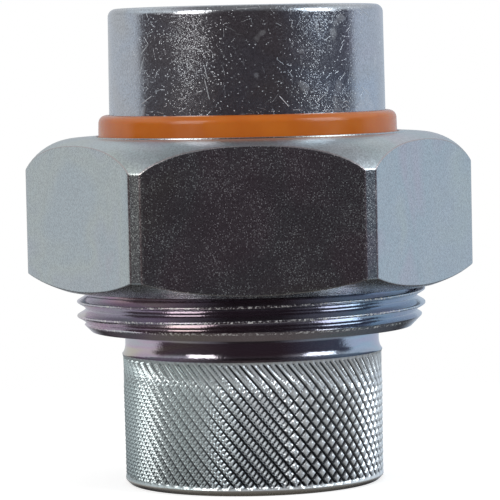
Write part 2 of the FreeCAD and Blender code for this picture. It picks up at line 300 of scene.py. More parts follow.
UNION_OFFSETS = union_offsets()
PIPE_OFFSETS = [THREAD_PITCH * step / PIPE_THREAD_STEPS
                for step in range(1 - PIPE_THREAD_STEPS // 2, PIPE_THREAD_STEPS // 2 + 1)]


def union_thread_r(offset, crest_r, root_r, widening):
    """The union thread's radius at a height from the ridge's middle."""
    flank = crest_r - (abs(offset) - THREAD_CREST_WIDTH / 2 - widening) / FLANK_SLOPE
    return soft_max(soft_min(flank, crest_r, THREAD_SOFTNESS), root_r, THREAD_ROOT_SOFTNESS)


def pipe_thread(angle, mouth_z, inward):
    """The tapered thread in a pipe socket, from its lower to its upper end."""
    floor_z = mouth_z + inward * SOCKET_DEPTH

    def radius_at(offset, z):
        depth = (z - mouth_z) * inward
        root = PIPE_THREAD_ROOT_R - depth * PIPE_THREAD_TAPER
        groove = root - abs(offset) / FLANK_SLOPE
        wall = soft_max(groove, SOCKET_DRILL_R, THREAD_SOFTNESS)
        runout = SOCKET_DRILL_R + (depth - SOCKET_DEPTH + SOCKET_RUNOUT)
        return max(wall, SOCKET_MOUTH_R - depth, runout)

    low_z, high_z = sorted((mouth_z, floor_z))
    return thread_rows(angle, low_z, high_z, mouth_z, PIPE_OFFSETS, radius_at)


# Materials
class Tree:
    """A small helper that adds and links nodes in one tree."""

    def __init__(self, tree):
        self.tree = tree
        tree.nodes.clear()

    def node(self, kind, settings=(), **inputs):
        """Adds a node, with its settings as (name, value) pairs and its inputs by name."""
        made = self.tree.nodes.new(kind)
        for name, value in settings:
            setattr(made, name, value)
        for name, value in inputs.items():
            self.put(made, name.replace("_", " "), value)
        return made

    def put(self, node, name, value):
        """Links or sets one input, found by its name or, as in i0, by its number."""
        by_number = name[0] == "i" and name[1:].isdigit()
        socket = node.inputs[int(name[1:]) if by_number else name]
        if isinstance(value, bpy.types.NodeSocket):
            self.tree.links.new(value, socket)
        else:
            socket.default_value = value

    def place(self):
        """The object-space position, as a vector and as its three numbers."""
        vector = self.node("ShaderNodeTexCoord").outputs["Object"]
        parts = self.node("ShaderNodeSeparateXYZ", Vector=vector)
        return vector, parts.outputs["X"], parts.outputs["Y"], parts.outputs["Z"]

    def from_axis(self):
        """The distance from the object's axis."""
        _, x, y, _ = self.place()
        return self.maths("SQRT", self.maths("ADD", self.maths("MULTIPLY", x, x),
                                             self.maths("MULTIPLY", y, y)))

    def noise(self, scale, detail=2.0, roughness=0.5, distortion=0.0, vector=None):
        """A noise field in object space. Scale is in waves a metre."""
        vector = vector or self.place()[0]
        field = self.node("ShaderNodeTexNoise", Vector=vector, Scale=scale, Detail=detail,
                          Roughness=roughness, Distortion=distortion)
        return field.outputs["Fac"]

    def unrolled(self, radius):
        """The surface of a turned piece laid flat: arc length from the front, then height."""
        _, x, y, z = self.place()
        angle = self.maths("ARCTAN2", x, self.maths("MULTIPLY", y, -1.0))
        arc = self.maths("MULTIPLY", angle, radius * MM)
        return self.node("ShaderNodeCombineXYZ", X=arc, Y=z).outputs[0]

    def hairlines(self, flat, cell, length, width, share):
        """Straight scratches on a flat vector, one in each cell of a share of the cells.

        cell is the cells' size, and length and width are the scratches', in millimetres.
        """
        cells = self.node("ShaderNodeTexVoronoi", (("voronoi_dimensions", "2D"),), Vector=flat,
                          Scale=1 / (cell * MM))
        chance = self.node("ShaderNodeSeparateColor", Color=cells.outputs["Color"])
        red, green, blue = (chance.outputs[name] for name in ("Red", "Green", "Blue"))
        away = self.node("ShaderNodeVectorMath", (("operation", "SUBTRACT"),), i0=flat,
                         i1=cells.outputs["Position"])
        turn = self.maths("MULTIPLY", red, math.pi)
        turned = self.node("ShaderNodeVectorRotate", (("rotation_type", "Z_AXIS"),),
                           Vector=away.outputs[0], Angle=turn)
        parts = self.node("ShaderNodeSeparateXYZ", Vector=turned.outputs[0])
        along = self.maths("ABSOLUTE", parts.outputs["X"])
        across = self.maths("ABSOLUTE", parts.outputs["Y"])
        reach = self.maths("MULTIPLY", self.maths("ADD", green, 0.4), length * MM / 2)
        inside = self.maths("LESS_THAN", along, reach)
        line = self.span(across, width * MM / 2, width * MM * 0.2)
        chosen = self.maths("LESS_THAN", blue, share)
        return self.maths("MULTIPLY", self.maths("MULTIPLY", inside, line), chosen)

    def dots(self, cell, radius, share):
        """Small round marks of uneven strength, in a share of the cells. Sizes are in mm."""
        cells = self.node("ShaderNodeTexVoronoi", Vector=self.place()[0], Scale=1 / (cell * MM))
        chance = self.node("ShaderNodeSeparateColor", Color=cells.outputs["Color"])
        spot = self.span(cells.outputs["Distance"], radius / cell, 0.4 * radius / cell)
        chosen = self.maths("LESS_THAN", chance.outputs["Blue"], share)
        strength = self.span(chance.outputs["Green"], 0.0, 1.0, 0.25, 1.0)
        return self.maths("MULTIPLY", self.maths("MULTIPLY", spot, chosen), strength)

    def span(self, value, low, high, to_low=0.0, to_high=1.0):
        """Maps low..high to to_low..to_high, clamped."""
        made = self.node("ShaderNodeMapRange", Value=value)
        for index, number in enumerate((low, high, to_low, to_high)):
            made.inputs[index + 1].default_value = number
        return made.outputs[0]

    def band(self, value, edge, gaps, to_high=1.0):
        """Rises from 0 at the first gap from an edge to to_high at the second, all in mm."""
        return self.span(value, (edge + gaps[0]) * MM, (edge + gaps[1]) * MM, 0.0, to_high)

    def ramp(self, value, *stops):
        """A colour ramp with (place, colour) stops."""
        made = self.node("ShaderNodeValToRGB", Fac=value)
        stripe = made.color_ramp
        while len(stripe.elements) < len(stops):
            stripe.elements.new(0.5)
        for element, (place, colour) in zip(stripe.elements, stops):
            element.position = place
            element.color = (*colour, 1)
        return made.outputs["Color"]

    def mix(self, share, first, second, blend="MIX"):
        """Mixes two colours."""
        made = self.node("ShaderNodeMix", (("data_type", "RGBA"), ("blend_type", blend)))
        self.put(made, "Factor", share)
        for index, value in ((6, first), (7, second)):
            if isinstance(value, bpy.types.NodeSocket):
                self.tree.links.new(value, made.inputs[index])
            else:
                made.inputs[index].default_value = (*value, 1)
        return made.outputs[2]

    def maths(self, kind, first, second=0.0):
        """One Math node."""
        made = self.node("ShaderNodeMath", (("operation", kind),), i0=first, i1=second)
        return made.outputs[0]


def below(gaps):
    """The same gaps, measured down or in from an edge instead of up or out."""
    return tuple(-gap for gap in gaps)


def principled(name):
    """A new material: its node helper and its shader, linked to the output."""
    material = bpy.data.materials.new(name)
    material.use_nodes = True
    tree = Tree(material.node_tree)
    shader = tree.node("ShaderNodeBsdfPrincipled")
    tree.node("ShaderNodeOutputMaterial", Surface=shader.outputs[0])
    return material, tree, shader


PLATE_METALLIC = 0.985
GRAIN_COLOUR = (0.22, 0.22, 0.23)
GRAIN_HEIGHT = 0.00004
SCRATCH_DEPTH = 0.00003
LATHE_DEPTH = 0.00006
TINT_PLACES = (0.34, 0.44, 0.52, 0.60, 0.68)
WORN_COLOUR = (0.80, 0.81, 0.83)
WORN_METALLIC = 0.15
WORN_ROUGHER = 0.25

# Where tints begin and are full, left (-) or right of the axis as seen in the photograph
# Tail: worn marks painted fainter in the middle and full to the sides, a painted highlight over
# real wear
TAIL_GLINT_SIDES_X = (0.0, 0.010)
# Thread and neck: a painted sheen, brown in the middle, warm on the left and cold on the right
THREAD_SHEEN_SIDES_X = (0.004, 0.013)
THREAD_COLD_SHEEN_X = (-0.010, 0.010)
# Knurl: painted light to the right of the axis and painted shade at the far left
KNURL_LIT_X = (-0.009, 0.000)
KNURL_SHADED_X = (-0.0105, -0.0150)

# Bands along edges, in millimetres, each with where it begins and where it is full
TAIL_RIM_CLEAR = (0.15, 0.6)            # below the tail's top
NUT_RIM_INNER = (0.16, 0.10)            # in from the middle of a flat
NUT_RIM_OUTER = (0.02, 0.06)
LOWEST_RIDGE_FROM = (0.70, 0.82)        # above the flange's foot
LOWEST_RIDGE_TO = (1.12, 1.00)
LOWEST_RIDGE_SHARE = 0.8
CREST_BAND = (0.08, 0.03)               # in from the thread's crests
RIDGE_TOP = 0.06                        # in from the knurl's crests
COLLAR_BAND = (0.5, 0.1)                # below the knurl's top
COLLAR_SHARE = 0.5
KNURL_BLEND = 0.1                       # how quickly the knurl's finish begins and ends


def zinc_plate(name, tints, roughness, metal=PLATE_METALLIC, grain_bump=0.3):
    """Bright zinc plating: grey metal with a faint play of colours and a fine grain.

    Returns the material, its tree, its shader, its base colour and its roughness.
    """
    material, tree, shader = principled(name)
    play = tree.noise(70, 2.0, 0.5, distortion=0.5)
    base = tree.ramp(play, *zip(TINT_PLACES, tints))
    grain = tree.noise(4200, 2.0, 0.65)
    base = tree.mix(tree.span(grain, 0.38, 0.60, 0.40, 0.0), base, GRAIN_COLOUR)
    rough = tree.span(grain, 0.3, 0.7, roughness - 0.05, roughness + 0.05)
    tree.put(shader, "Metallic", metal)
    fine = tree.node("ShaderNodeBump", Strength=grain_bump, Distance=GRAIN_HEIGHT, Height=grain)
    dents = tree.node("ShaderNodeBump", Strength=0.3, Distance=GRAIN_HEIGHT,
                      Height=tree.noise(500, 2.0, 0.5), Normal=fine.outputs[0])
    tree.put(shader, "Normal", dents.outputs[0])
    return material, tree, shader, base, rough


def specks(tree, worn, haze_strength, dot_share):
    """A pale haze and fine dots, both stronger where the worn mask is; on the tailpiece that mask
    also holds a painted highlight to the sides.
    """
    haze = tree.span(tree.noise(5200, 2.0, 0.7), 0.54, 0.72, 0.0, haze_strength)
    dots = tree.dots(cell=0.19, radius=0.085, share=tree.maths("MULTIPLY", worn, dot_share))
    return tree.maths("MAXIMUM", tree.maths("MULTIPLY", haze, worn), dots)


def wear(tree, shader, base, rough, marks, strength):
    """Lays pale, duller marks over a plating, and sets its colour and roughness."""
    share = tree.maths("MULTIPLY", marks, strength)
    tree.put(shader, "Base Color", tree.mix(share, base, WORN_COLOUR))
    rougher = tree.span(marks, 0, 1, 0.0, WORN_ROUGHER)
    tree.put(shader, "Roughness", tree.maths("ADD", rough, rougher))
    metal = shader.inputs["Metallic"].default_value
    tree.put(shader, "Metallic", tree.span(share, 0, 1, metal, WORN_METALLIC))


def roughen(tree, shader, height, **inputs):
    """Adds one more bump to those that the shader's normal has."""
    bump = tree.node("ShaderNodeBump", Height=height, **inputs,
                     Normal=shader.inputs["Normal"].links[0].from_socket)
    tree.put(shader, "Normal", bump.outputs[0])


def tail_zinc():
    """The tailpiece's plating: scratched all over, with specks and a few pale blotches; the specks
    and finer scratches are painted denser to the sides, a painted highlight where the lamps catch
    them.
    """
    lilac, grey, blue = (0.62, 0.58, 0.64), (0.60, 0.61, 0.65), (0.56, 0.61, 0.68)
    material, tree, shader, base, rough = zinc_plate(
        "zinc_tail", (lilac, grey, (0.57, 0.59, 0.62), blue, (0.58, 0.60, 0.62)), 0.13,
        metal=0.95)
    flat = tree.unrolled(TAIL_BASE_R)
    _, x, _, z = tree.place()
    patches = tree.span(tree.noise(110, 3.0, 0.6), 0.42, 0.62, 0.2, 1.0)
    # Painted highlight: the worn patches, and with them the specks and finer scratches, are
    # fainter in the middle and full to the sides, where the lamps catch them.
    aside = tree.span(tree.maths("ABSOLUTE", x), *TAIL_GLINT_SIDES_X, 0.45, 1.0)
    worn = tree.maths("MULTIPLY", patches, aside)
    coarse = tree.hairlines(flat, cell=3.4, length=2.6, width=0.09, share=0.18)
    medium = tree.hairlines(flat, cell=1.2, length=1.1, width=0.06, share=0.35)
    lines = tree.maths("MAXIMUM", coarse, tree.maths("MULTIPLY", medium, worn))
    below_rim = tree.band(z, TAIL_TOP_Z, below(TAIL_RIM_CLEAR))
    lines = tree.maths("MULTIPLY", lines, below_rim)
    blotches = tree.span(tree.noise(260, 2.0, 0.6), 0.62, 0.66, 0.0, 0.3)
    marks = tree.maths("MAXIMUM", lines, specks(tree, worn, 0.28, 0.38))
    marks = tree.maths("MAXIMUM", marks, blotches)
    wear(tree, shader, base, rough, marks, 0.55)
    roughen(tree, shader, marks, Strength=0.8, Distance=SCRATCH_DEPTH)
    return material


def nut_zinc():
    """The nut's plating: fine specks, brown edges to the flats and lathe marks on the dome."""
    teal, pink, green = (0.56, 0.63, 0.65), (0.61, 0.60, 0.645), (0.60, 0.655, 0.63)
    material, tree, shader, base, rough = zinc_plate(
        "zinc_nut", (pink, teal, (0.58, 0.63, 0.65), green, teal), 0.20, grain_bump=0.7)
    _, x, y, _ = tree.place()
    rings_at = tree.maths("MULTIPLY", tree.from_axis(), 2600.0)
    rings = tree.noise(1.0, 3.0, 0.6, vector=tree.node("ShaderNodeCombineXYZ",
                                                       X=rings_at).outputs[0])
    normal = tree.node("ShaderNodeTexCoord").outputs["Normal"]
    facing = tree.node("ShaderNodeSeparateXYZ", Vector=normal).outputs["Z"]
    dome = tree.span(facing, 0.25, 0.45)

    worn = tree.span(tree.noise(160, 3.0, 0.6), 0.42, 0.60, 0.10, 1.0)
    overall = tree.span(tree.noise(6000, 0.0), 0.56, 0.80, 0.0, 0.3)
    marks = tree.maths("MAXIMUM", specks(tree, worn, 0.35, 0.45), overall)

    out = tree.maths("ABSOLUTE", y)
    for half in (0.5, -0.5):
        slanted = tree.maths("ADD", tree.maths("MULTIPLY", x, math.sqrt(0.75)),
                             tree.maths("MULTIPLY", y, half))
        out = tree.maths("MAXIMUM", out, tree.maths("ABSOLUTE", slanted))
    rim = tree.maths("MULTIPLY", tree.band(out, NUT_HALF_FLATS, below(NUT_RIM_INNER)),
                     tree.band(out, NUT_HALF_FLATS, below(NUT_RIM_OUTER)))
    base = tree.mix(tree.maths("MULTIPLY", rim, 0.7), base, (0.44, 0.33, 0.33))

    rough = tree.maths("ADD", rough, tree.maths("MULTIPLY", dome, 0.14))
    wear(tree, shader, base, rough, marks, 0.48)
    roughen(tree, shader, rings, Strength=tree.maths("MULTIPLY", dome, 0.5),
            Distance=LATHE_DEPTH)
    return material


def thread_colour_and_sheen(tree, x):
    """The thread and neck's play of colours, with a painted sheen: brown in the middle, which
    faces the camera, but warm on the left and cold on the right, where the warm and the bluish
    lamps light it.
    """
    bands = tree.node("ShaderNodeVectorMath", (("operation", "MULTIPLY"),),
                      i0=tree.unrolled(THREAD_ROOT_R), i1=(0.12, 1.0, 1.0))
    play = tree.noise(420, 2.0, 0.5, vector=bands.outputs[0])
    warm = tree.ramp(play, (0.34, (0.66, 0.58, 0.46)), (0.46, (0.62, 0.46, 0.57)),
                     (0.55, (0.56, 0.54, 0.58)), (0.66, (0.58, 0.48, 0.62)))
    cold = tree.ramp(play, (0.34, (0.54, 0.48, 0.62)), (0.46, (0.44, 0.56, 0.66)),
                     (0.55, (0.52, 0.56, 0.66)), (0.66, (0.40, 0.57, 0.63)))
    brown = tree.ramp(play, (0.38, (0.46, 0.38, 0.42)), (0.62, (0.44, 0.40, 0.47)))
    # Painted sheen: brown where the thread faces the camera, coloured towards the sides.
    aside = tree.span(tree.maths("ABSOLUTE", x), *THREAD_SHEEN_SIDES_X)
    return tree.mix(aside, brown, tree.mix(tree.span(x, *THREAD_COLD_SHEEN_X), warm, cold))


def knurl_lit_and_shaded_colour(tree, x, ridge):
    """The knurl's colour, with painted light and shade: painted shade dark in the grooves, bright
    on the ridges, painted light to the right and painted shade dimmer to the left.
    """
    # Painted light and shade: lighter and bluer to the right, where the lamp and wall light it,
    # and dimmer at the far left.
    bright = tree.mix(tree.span(x, *KNURL_LIT_X), (0.80, 0.89, 0.89), (0.94, 0.98, 1.0))
    bright = tree.mix(tree.span(x, *KNURL_SHADED_X), bright, (0.50, 0.57, 0.57))
    # Painted shade: the grooves darken towards their bottoms, and only the ridges keep full
    # colour.
    depth = tree.ramp(ridge, (0.0, (0.07, 0.07, 0.08)), (0.38, (0.26, 0.26, 0.27)),
                      (0.62, (0.92, 0.92, 0.93)), (1.0, (1.0, 1.0, 1.0)))
    return tree.mix(1.0, bright, depth, "MULTIPLY")


def body_zinc():
    """The threaded body's plating: colourful on the thread and neck, with a painted sheen, and
    crushed on the knurl, with painted light and shade.
    """
    steel = (0.60, 0.61, 0.64)
    material, tree, shader, base, rough = zinc_plate(
        "zinc_body", ((0.58, 0.56, 0.60), steel, steel, steel, (0.56, 0.61, 0.64)), 0.10)
    _, x, _, z = tree.place()
    away = tree.from_axis()
    knurl = tree.band(z, KNURL_TOP_Z, (0, -KNURL_BLEND))
    base = tree.mix(tree.maths("SUBTRACT", 0.85, knurl), base, thread_colour_and_sheen(tree, x))
    crest = (KNURL_BOTTOM_R + KNURL_TOP_R) / 2
    ridge = tree.band(away, crest, below((KNURL_DEPTH, RIDGE_TOP)))
    base = tree.mix(knurl, base, knurl_lit_and_shaded_colour(tree, x, ridge))

    # Pale marks along the thread's crests, and on the lowest ridge, which the chamfer cuts down:
    # partly worn plating, partly painted highlights where the crests catch the lamps
    lowest = tree.maths("MULTIPLY", tree.band(z, FLANGE_Z, LOWEST_RIDGE_FROM),
                        tree.band(z, FLANGE_Z, LOWEST_RIDGE_TO, LOWEST_RIDGE_SHARE))
    crests = tree.band(away, THREAD_CREST_R, below(CREST_BAND))
    edges = tree.maths("MAXIMUM", lowest, crests)
    nicks_and_glints = tree.maths("MULTIPLY", tree.span(tree.noise(2900, 2.0, 0.7), 0.50, 0.62), edges)
    base = tree.mix(tree.maths("MULTIPLY", nicks_and_glints, 0.75), base, (0.90, 0.90, 0.86))

    # A darker collar at the knurl's top, and a brownish band at its foot
    collar = tree.band(z, KNURL_TOP_Z, below(COLLAR_BAND), COLLAR_SHARE)
    base = tree.mix(tree.maths("MULTIPLY", knurl, collar), base, (0.22, 0.21, 0.21))
    foot = tree.band(z, KNURL_BASE_Z, (0, -KNURL_BLEND))
    base = tree.mix(foot, base, (0.40, 0.37, 0.33))

    tree.put(shader, "Base Color", base)
    dull = tree.maths("MAXIMUM", tree.maths("MULTIPLY", nicks_and_glints, 1.8),
                      tree.maths("MULTIPLY", knurl, ridge))
    tree.put(shader, "Metallic", tree.span(dull, 0.0, 2.0, PLATE_METALLIC, 0.10))
    rougher = tree.maths("MULTIPLY", tree.maths("MAXIMUM", knurl, nicks_and_glints), 0.13)
    tree.put(shader, "Roughness", tree.maths("ADD", rough, rougher))
    return material


def orange_plastic():
    """Glossy orange moulded plastic, a little cloudy."""
    material, tree, shader = principled("orange_plastic")
    cloud = tree.noise(160, 3.0, 0.5)
    colour = tree.ramp(cloud, (0.3, (0.56, 0.130, 0.010)), (0.7, (0.66, 0.180, 0.018)))
    tree.put(shader, "Base Color", colour)
    tree.put(shader, "Roughness", tree.span(tree.noise(900, 2.0), 0.3, 0.7, 0.15, 0.25))
    tree.put(shader, "Subsurface Weight", 0.15)
    tree.put(shader, "Subsurface Radius", (0.002, 0.0006, 0.0002))
    bump = tree.node("ShaderNodeBump", Strength=0.3, Distance=0.00005,
                     Height=tree.noise(700, 2.0, 0.5))
    tree.put(shader, "Normal", bump.outputs[0])
    return material


def black_rubber():
    """Matte black rubber with a fine grain."""
    material, tree, shader = principled("black_rubber")
    cloud = tree.noise(500, 3.0, 0.6)
    tree.put(shader, "Base Color", tree.ramp(cloud, (0.3, (0.018, 0.018, 0.019)),
                                             (0.7, (0.040, 0.040, 0.042))))
    tree.put(shader, "Roughness", tree.span(cloud, 0.3, 0.7, 0.6, 0.8))
    bump = tree.node("ShaderNodeBump", Strength=0.4, Distance=0.00004,
                     Height=tree.noise(3000, 2.0, 0.6))
    tree.put(shader, "Normal", bump.outputs[0])
    return material


# The pieces
# Grooves of the knurl's two hands. A doubling is an angle in radians and a spread, a depth is
# a share of KNURL_DEPTH, and a width is a groove's half width as a share of the pitch.
FALLING, RISING = 1, -1
FALLING_DOUBLED = (2.39, -0.44)
RISING_DOUBLED = (2.2, 0.28)
GROOVE_WIDTH = 0.34
FALLING_NARROWING = 0.08        # how much narrower the first grooves are where doubled
RISING_NARROWING = 0.11
RISING_DEPTH = 0.95
RISING_SHALLOWER = 0.1          # where the rising grooves are doubled
CROSSED_SHALLOWER = 0.3         # where both hands are
FALLING_BETWEEN_DEPTH = 0.62
FALLING_BETWEEN_WIDTH = 0.26
RISING_BETWEEN_DEPTH = 0.85
RISING_BETWEEN_WIDTH = 0.23


def knurl_radius(column, row, rows):
    """The knurled surface's radius at one column and row of its mesh.

    Straight grooves of both hands cross. On two opposite sides for each hand the wheel's
    tracks don't meet, and a second groove lies between every two of the first. Towards the
    top the rising grooves fade out and the falling ones are doubled all round.
    """
    crest = KNURL_BOTTOM_R + row / rows * (KNURL_TOP_R - KNURL_BOTTOM_R)
    turn = 2 * math.pi * column / (KNURL_GROOVES * KNURL_STEPS)
    fade = min(1.0, (rows - row) / KNURL_RUNOUT_ROWS)
    runout = 1 - fade * fade

    def doubled(side, spread):
        """How far the second grooves have come in here, from 0 to 1."""
        return min(1.0, max(0.0, 0.5 + 2 * (math.cos(2 * (turn + side)) + spread)))

    def groove(hand, middle, half_width):
        """A groove's depth here, from 0 to 1. Middle and width are shares of the pitch."""
        phase = (column + hand * row) / KNURL_STEPS
        gap = abs((phase - middle + 0.5) % 1 - 0.5)
        return max(0.0, 1 - gap / half_width)

    twice_falling = doubled(*FALLING_DOUBLED)
    twice_rising = doubled(*RISING_DOUBLED)
    shallow = 1 - CROSSED_SHALLOWER * twice_falling * twice_rising
    falling = shallow * groove(FALLING, 0, GROOVE_WIDTH - FALLING_NARROWING * twice_falling)
    falling_between = (max(FALLING_BETWEEN_DEPTH * twice_falling, runout)
                       * groove(FALLING, 0.5, FALLING_BETWEEN_WIDTH))
    rising = (shallow * (RISING_DEPTH - RISING_SHALLOWER * twice_rising)
              * groove(RISING, 0, GROOVE_WIDTH - RISING_NARROWING * twice_rising))
    rising_between = (shallow * RISING_BETWEEN_DEPTH * twice_rising
                      * groove(RISING, 0.5, RISING_BETWEEN_WIDTH))
    cut = max(falling, falling_between, fade * rising, fade * rising_between)
    edge = min(1.0, row / KNURL_EDGE_ROWS, (rows - row) / KNURL_EDGE_ROWS)
    return crest - KNURL_DEPTH * cut * edge


def add_knurl(surface):
    """Adds the knurled skin and returns its indices. Facets are split along the grooves."""
    fine = KNURL_GROOVES * KNURL_STEPS
    rows = round((KNURL_TOP_Z - KNURL_BASE_Z) / KNURL_PITCH * KNURL_STEPS)
    knurl = np.zeros((fine + 1, rows + 1, 3))
    for column in range(fine + 1):
        angle = 2 * math.pi * column / fine
        for row in range(rows + 1):
            radius = knurl_radius(column, row, rows)
            z = KNURL_BASE_Z + (KNURL_TOP_Z - KNURL_BASE_Z) * row / rows
            knurl[column, row] = (radius * math.cos(angle), radius * math.sin(angle), z)
    indices = surface.add(knurl)
    column, row = np.meshgrid(np.arange(fine), np.arange(rows), indexing="ij")
    falling_groove = ((column + row + 1) % KNURL_STEPS) < KNURL_STEPS // 2
    surface.quads(indices, ~falling_groove)
    return indices


def join_rings(surface, coarse, ring):
    """Joins a ring of COLUMNS vertices with the knurl's finer ring, by fans of triangles."""
    fine = KNURL_GROOVES * KNURL_STEPS
    for column in range(COLUMNS):
        start = column * fine // COLUMNS
        end = (column + 1) * fine // COLUMNS
        middle = (start + end) // 2
        for step in range(start, end):
            anchor = coarse[column] if step < middle else coarse[column + 1]
            surface.faces.append([int(anchor), int(ring[step + 1]), int(ring[step])])
        surface.faces.append([int(coarse[column]), int(coarse[column + 1]), int(ring[middle])])


def make_threaded_body(material):
    """The lower pipe end, from the knurl to the seat, with both of its threads."""
    surface = Surface()
    angles = full_turn()
    lower = rounded_path((SOCKET_MOUTH_R, 0), (KNURL_BOTTOM_R - END_CHAMFER, 0, END_EDGE),
                         (KNURL_BOTTOM_R, END_CHAMFER, BAND_EDGE), (KNURL_BOTTOM_R, KNURL_BASE_Z))
    lower_rows = surface.turned(angles, lambda angle: lower)
    knurl_rows = add_knurl(surface)

    chamfer_low = THREAD_CREST_R - THREAD_LOWER_CHAMFER
    chamfer_high = THREAD_CREST_R - THREAD_UPPER_CHAMFER
    scoop = [(NECK_R + NECK_SCOOP_R * (1 - math.cos(turn)),
              NECK_SCOOP_Z - NECK_SCOOP_R * math.sin(turn))
             for turn in np.radians(np.linspace(NECK_SCOOP_ANGLE, 0, NECK_SCOOP_POINTS))]
    neck = rounded_path((KNURL_TOP_R, KNURL_TOP_Z), *scoop, (NECK_R, FLANGE_Z, NECK_FILLET),
                        (chamfer_low, FLANGE_Z), steps=6)
    inside = rounded_path((chamfer_high, SEAT_Z), (WATERWAY_R, SEAT_Z, WATERWAY_EDGE),
                          (WATERWAY_R, SOCKET_DEPTH, SOCKET_FLOOR_EDGE),
                          (SOCKET_DRILL_R + SOCKET_RUNOUT, SOCKET_DEPTH))

    def union_r(offset, z):
        radius = union_thread_r(offset, THREAD_CREST_R, THREAD_ROOT_R, 0)
        return min(radius, chamfer_low + z - FLANGE_Z, chamfer_high + SEAT_Z - z)

    def upper(angle):
        thread = thread_rows(angle, FLANGE_Z, SEAT_Z, THREAD_START_Z, UNION_OFFSETS, union_r)
        return np.concatenate([neck, thread, inside, pipe_thread(angle, 0.0, 1)[::-1]])

    upper_rows = surface.turned(angles, upper)
    join_rings(surface, lower_rows[:, -1], knurl_rows[:, 0])
    join_rings(surface, upper_rows[:, 0], knurl_rows[:, -1])
    return surface.make("threaded_body_skin", "lower_end", "threaded_body",
                        material)


def make_tailpiece(material):
    """The upper pipe end, with its hidden flange and its tapered thread."""
    surface = Surface()
    outside = rounded_path(
        (WATERWAY_R, TAIL_Z), (TAIL_FLANGE_R - TAIL_FLANGE_EDGE, TAIL_Z, TAIL_FLANGE_SOFTNESS),
        (TAIL_FLANGE_R, TAIL_Z + TAIL_FLANGE_EDGE, TAIL_FLANGE_SOFTNESS),
        (TAIL_FLANGE_R, TAIL_FLANGE_TOP_Z, TAIL_FLANGE_RIM),
        (TAIL_BASE_R, TAIL_FLANGE_TOP_Z, TAIL_BASE_FILLET),
        (TAIL_TOP_R, TAIL_TOP_Z, TAIL_TOP_ROUND), (SOCKET_MOUTH_R, TAIL_TOP_Z), steps=6)
    floor_z = TAIL_TOP_Z - SOCKET_DEPTH
    inside = rounded_path((SOCKET_DRILL_R + SOCKET_RUNOUT, floor_z),
                          (WATERWAY_R, floor_z, SOCKET_FLOOR_EDGE), (WATERWAY_R, TAIL_Z))

    def outline(angle):
        return np.concatenate([outside, pipe_thread(angle, TAIL_TOP_Z, -1)[::-1], inside])

    surface.turned(full_turn(), outline)
    return surface.make("tailpiece_skin", "tail", "tailpiece", material)


def make_sleeve(material):
    """The moulded sleeve: its collar, its flange under the nut's lip and its skirt."""
    surface = Surface()
    brow = [(SLEEVE_COLLAR_TOP_R - SLEEVE_COLLAR_ROUND * (1 - math.cos(turn)),
             COLLAR_TOP_Z - SLEEVE_COLLAR_ROUND * (1 - math.sin(turn)))
            for turn in np.radians(np.linspace(0, 90, SLEEVE_COLLAR_POINTS))]
    outline = rounded_path(
        (SLEEVE_BORE_R, TAIL_FLANGE_TOP_Z), (SLEEVE_SKIRT_BORE_R, TAIL_FLANGE_TOP_Z, SLEEVE_EDGE),
        (SLEEVE_SKIRT_BORE_R, SKIRT_Z, SLEEVE_EDGE), (SLEEVE_SKIRT_R, SKIRT_Z, SLEEVE_SKIRT_EDGE),
        (SLEEVE_SKIRT_R, LIP_Z, SLEEVE_SKIRT_EDGE), (SLEEVE_COLLAR_R, LIP_Z, SLEEVE_EDGE), *brow,
        (SLEEVE_BORE_R, COLLAR_TOP_Z - SLEEVE_BORE_CHAMFER), (SLEEVE_BORE_R, TAIL_FLANGE_TOP_Z),
        steps=7)
    surface.turned(full_turn(), lambda angle: outline)
    return surface.make("insulating_sleeve_skin", "sleeve",
                        "insulating_sleeve", material)


def make_gasket(material):
    """The rubber ring, with softened edges."""
    surface = Surface()
    middle_z = (SEAT_Z + TAIL_Z) / 2
    outline = rounded_path(
        (GASKET_INNER_R, middle_z), (GASKET_INNER_R, SEAT_Z, GASKET_EDGE),
        (GASKET_OUTER_R, SEAT_Z, GASKET_EDGE), (GASKET_OUTER_R, TAIL_Z, GASKET_EDGE),
        (GASKET_INNER_R, TAIL_Z, GASKET_EDGE), (GASKET_INNER_R, middle_z))
    surface.turned(full_turn(), lambda angle: outline)
    return surface.make("sealing_gasket_skin", "lower_end", "sealing_gasket",
                        material)


def nut_angles():
    """Column angles: close together at the six corners, wider along the flats."""
    angles = []
    for corner in range(6):
        angles += [60 * corner + offset for offset in NUT_COLUMN_ANGLES]
        angles += [60 * (corner + 1) - offset for offset in reversed(NUT_COLUMN_ANGLES[1:-1])]
    return [math.radians(angle) for angle in angles + [360.0]]


